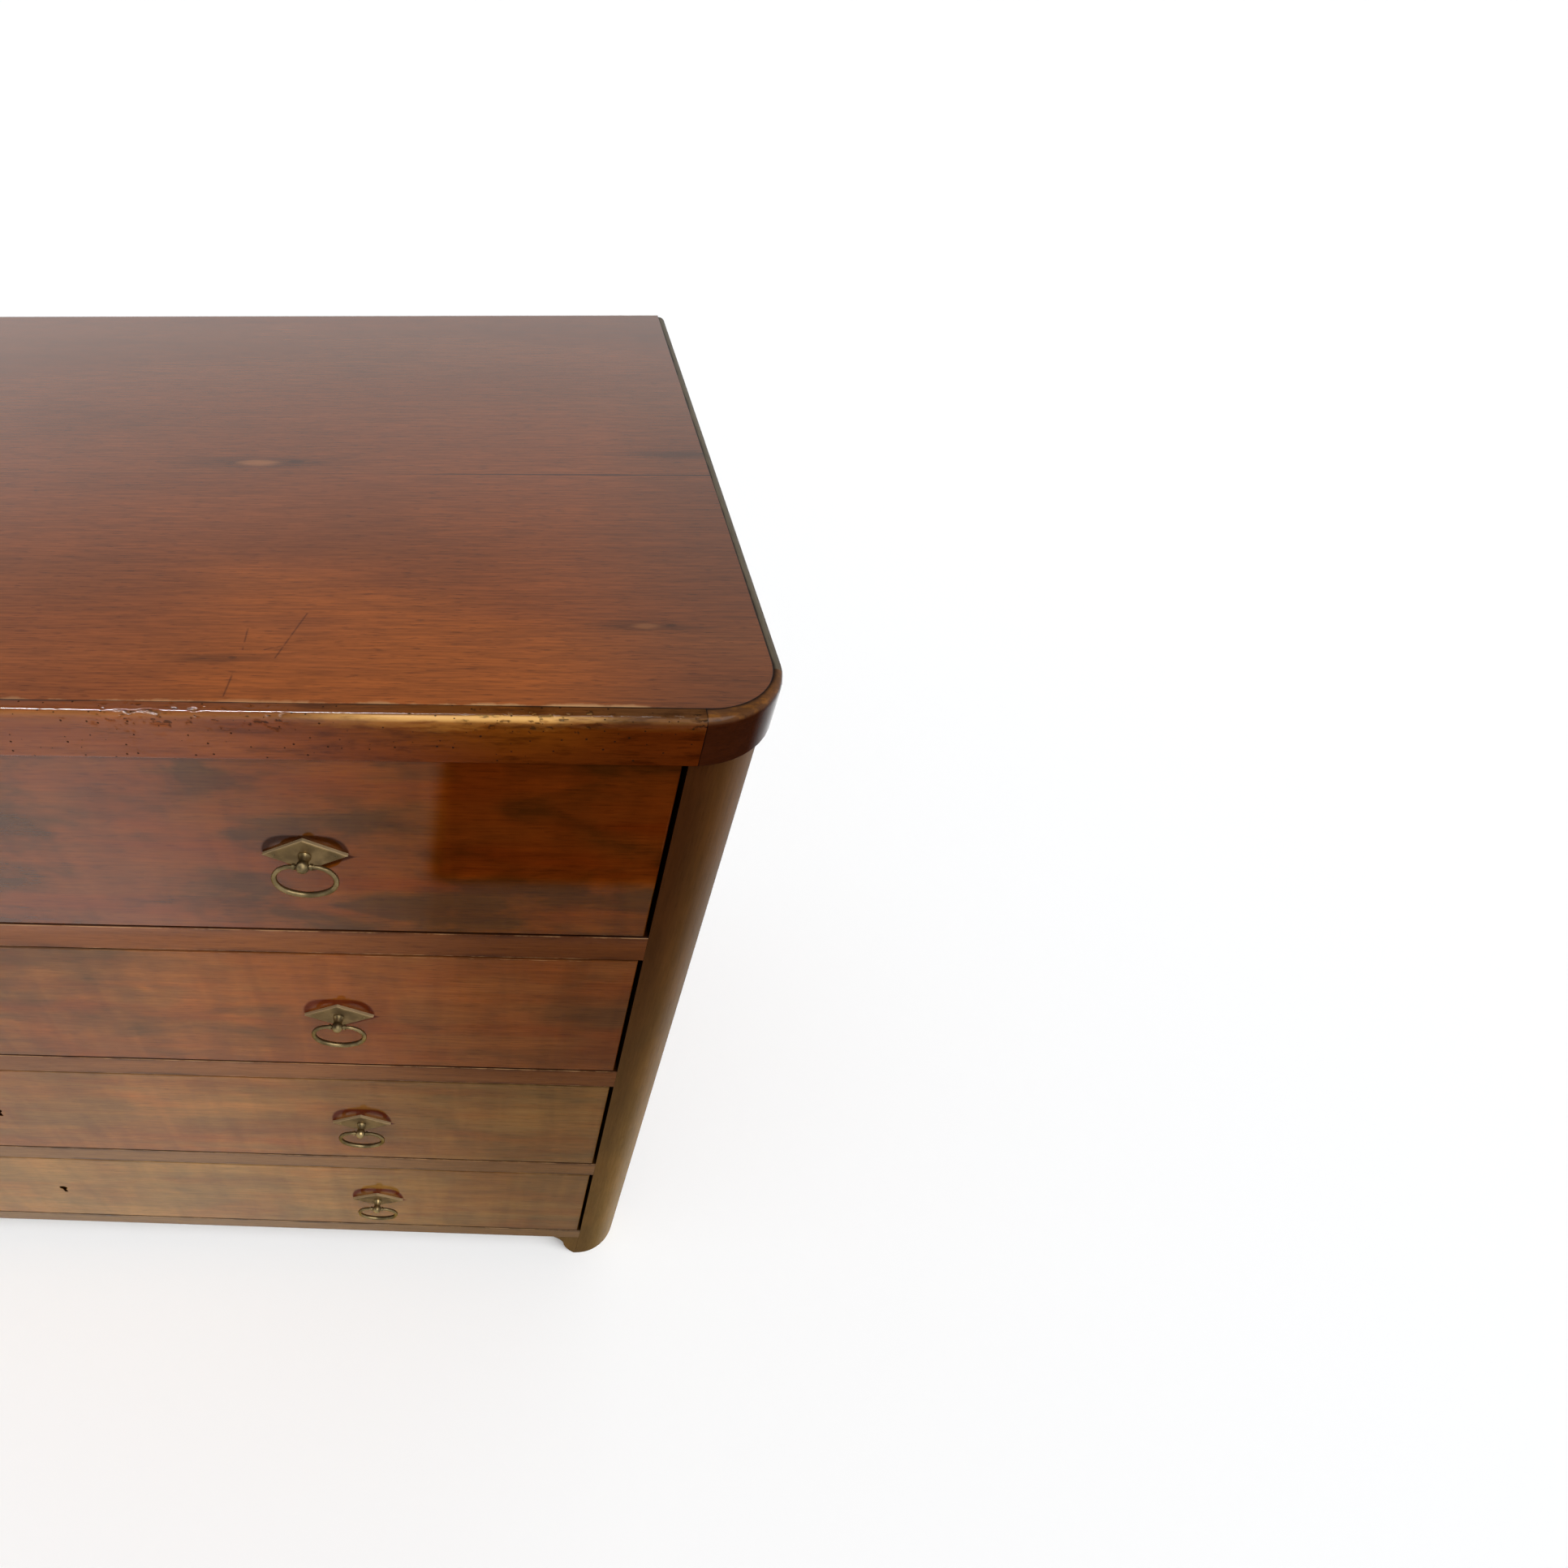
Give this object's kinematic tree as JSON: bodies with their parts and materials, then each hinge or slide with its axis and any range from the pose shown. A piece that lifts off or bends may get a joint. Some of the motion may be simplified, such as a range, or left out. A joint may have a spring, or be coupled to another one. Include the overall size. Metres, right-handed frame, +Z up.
{
  "type": "chest of drawers",
  "caption": "Low wooden chest of drawers with quarter-round front posts, a moulded boarded top, flush drawers with ring pulls on rhombic plates, and drawer locks.",
  "frame": {"origin": "on the floor, under the middle of the whole chest's box, pulls included", "axes": "+X to the right of someone who faces the drawers, +Y from the front to the back, +Z up"},
  "size_m": [1.18, 0.577, 0.807],
  "materials": {
    "mahogany_top": "red-brown mahogany, polished, worn",
    "mahogany_edge": "red-brown mahogany, polished, rubbed bare along the edge",
    "corner_wood": "dark stained hardwood, polished",
    "post_wood": "dark olive-brown stained hardwood, polished",
    "side_wood": "red-brown mahogany, polished",
    "rail_wood": "red-brown mahogany, polished, worn arrises",
    "drawer_wood": "red-brown mahogany, polished, mottled figure",
    "pine": "aged bare pine",
    "drawer_pine": "aged bare pine, planed",
    "brass": "aged brass, dull",
    "iron": "dark wrought iron"
  },
  "bodies": {
    "carcase": {"top_board_front": "mahogany_top", "top_board_rear": "mahogany_top", "top_edge_front": "mahogany_edge", "top_edge_sides": "mahogany_edge", "top_corner_blocks": "corner_wood", "front_post_left": "post_wood", "front_post_right": "post_wood", "foot_brackets": "post_wood", "side_panel_left": "side_wood", "side_panel_right": "side_wood", "drawer_dividers": "rail_wood", "bottom_rail": "rail_wood", "top_rail": "rail_wood", "rear_posts": "pine", "back_boards": "pine", "bottom_board": "pine", "rear_rails": "pine", "runners_and_kickers": "pine", "drawer_guides": "pine", "drawer_stops": "pine"},
    "drawer_1": {"drawer_1_front": "drawer_wood", "drawer_1_sides": "drawer_pine", "drawer_1_back": "drawer_pine", "drawer_1_bottom": "drawer_pine", "pull_plates_1": "brass", "pull_posts_1": "brass", "lock_1_case": "iron"},
    "ring_1_left": {"ring_1_left": "brass"},
    "ring_1_right": {"ring_1_right": "brass"},
    "bolt_1": {"lock_1_bolt": "iron"},
    "drawer_2": {"drawer_2_front": "drawer_wood", "drawer_2_sides": "drawer_pine", "drawer_2_back": "drawer_pine", "drawer_2_bottom": "drawer_pine", "pull_plates_2": "brass", "pull_posts_2": "brass", "lock_2_case": "iron"},
    "ring_2_left": {"ring_2_left": "brass"},
    "ring_2_right": {"ring_2_right": "brass"},
    "bolt_2": {"lock_2_bolt": "iron"},
    "drawer_3": {"drawer_3_front": "drawer_wood", "drawer_3_sides": "drawer_pine", "drawer_3_back": "drawer_pine", "drawer_3_bottom": "drawer_pine", "pull_plates_3": "brass", "pull_posts_3": "brass", "lock_3_case": "iron"},
    "ring_3_left": {"ring_3_left": "brass"},
    "ring_3_right": {"ring_3_right": "brass"},
    "bolt_3": {"lock_3_bolt": "iron"},
    "drawer_4": {"drawer_4_front": "drawer_wood", "drawer_4_sides": "drawer_pine", "drawer_4_back": "drawer_pine", "drawer_4_bottom": "drawer_pine", "pull_plates_4": "brass", "pull_posts_4": "brass", "lock_4_case": "iron"},
    "ring_4_left": {"ring_4_left": "brass"},
    "ring_4_right": {"ring_4_right": "brass"},
    "bolt_4": {"lock_4_bolt": "iron"}
  },
  "joints": [
    {"name": "drawer_1_slide", "type": "slide", "parent": "carcase", "child": "drawer_1", "axis": [0, -1, 0], "range_m": [0, 0.36]},
    {"name": "ring_1_left_swing", "type": "hinge", "parent": "drawer_1", "child": "ring_1_left", "pos_m": [-0.3277, -0.28435, 0.6955], "axis": [-1, 0, 0], "range_deg": [-18, 160]},
    {"name": "ring_1_right_swing", "type": "hinge", "parent": "drawer_1", "child": "ring_1_right", "pos_m": [0.3277, -0.28435, 0.6955], "axis": [-1, 0, 0], "range_deg": [-18, 160]},
    {"name": "bolt_1_slide", "type": "slide", "parent": "drawer_1", "child": "bolt_1", "axis": [0, 0, 1], "range_m": [0, 0.009]},
    {"name": "drawer_2_slide", "type": "slide", "parent": "carcase", "child": "drawer_2", "axis": [0, -1, 0], "range_m": [0, 0.36]},
    {"name": "ring_2_left_swing", "type": "hinge", "parent": "drawer_2", "child": "ring_2_left", "pos_m": [-0.3277, -0.28435, 0.5115], "axis": [-1, 0, 0], "range_deg": [-18, 160]},
    {"name": "ring_2_right_swing", "type": "hinge", "parent": "drawer_2", "child": "ring_2_right", "pos_m": [0.3277, -0.28435, 0.5115], "axis": [-1, 0, 0], "range_deg": [-18, 160]},
    {"name": "bolt_2_slide", "type": "slide", "parent": "drawer_2", "child": "bolt_2", "axis": [0, 0, 1], "range_m": [0, 0.009]},
    {"name": "drawer_3_slide", "type": "slide", "parent": "carcase", "child": "drawer_3", "axis": [0, -1, 0], "range_m": [0, 0.36]},
    {"name": "ring_3_left_swing", "type": "hinge", "parent": "drawer_3", "child": "ring_3_left", "pos_m": [-0.3277, -0.28435, 0.3285], "axis": [-1, 0, 0], "range_deg": [-18, 160]},
    {"name": "ring_3_right_swing", "type": "hinge", "parent": "drawer_3", "child": "ring_3_right", "pos_m": [0.3277, -0.28435, 0.3285], "axis": [-1, 0, 0], "range_deg": [-18, 160]},
    {"name": "bolt_3_slide", "type": "slide", "parent": "drawer_3", "child": "bolt_3", "axis": [0, 0, 1], "range_m": [0, 0.009]},
    {"name": "drawer_4_slide", "type": "slide", "parent": "carcase", "child": "drawer_4", "axis": [0, -1, 0], "range_m": [0, 0.36]},
    {"name": "ring_4_left_swing", "type": "hinge", "parent": "drawer_4", "child": "ring_4_left", "pos_m": [-0.3277, -0.28435, 0.1475], "axis": [-1, 0, 0], "range_deg": [-18, 160]},
    {"name": "ring_4_right_swing", "type": "hinge", "parent": "drawer_4", "child": "ring_4_right", "pos_m": [0.3277, -0.28435, 0.1475], "axis": [-1, 0, 0], "range_deg": [-18, 160]},
    {"name": "bolt_4_slide", "type": "slide", "parent": "drawer_4", "child": "bolt_4", "axis": [0, 0, 1], "range_m": [0, 0.009]}
  ]
}
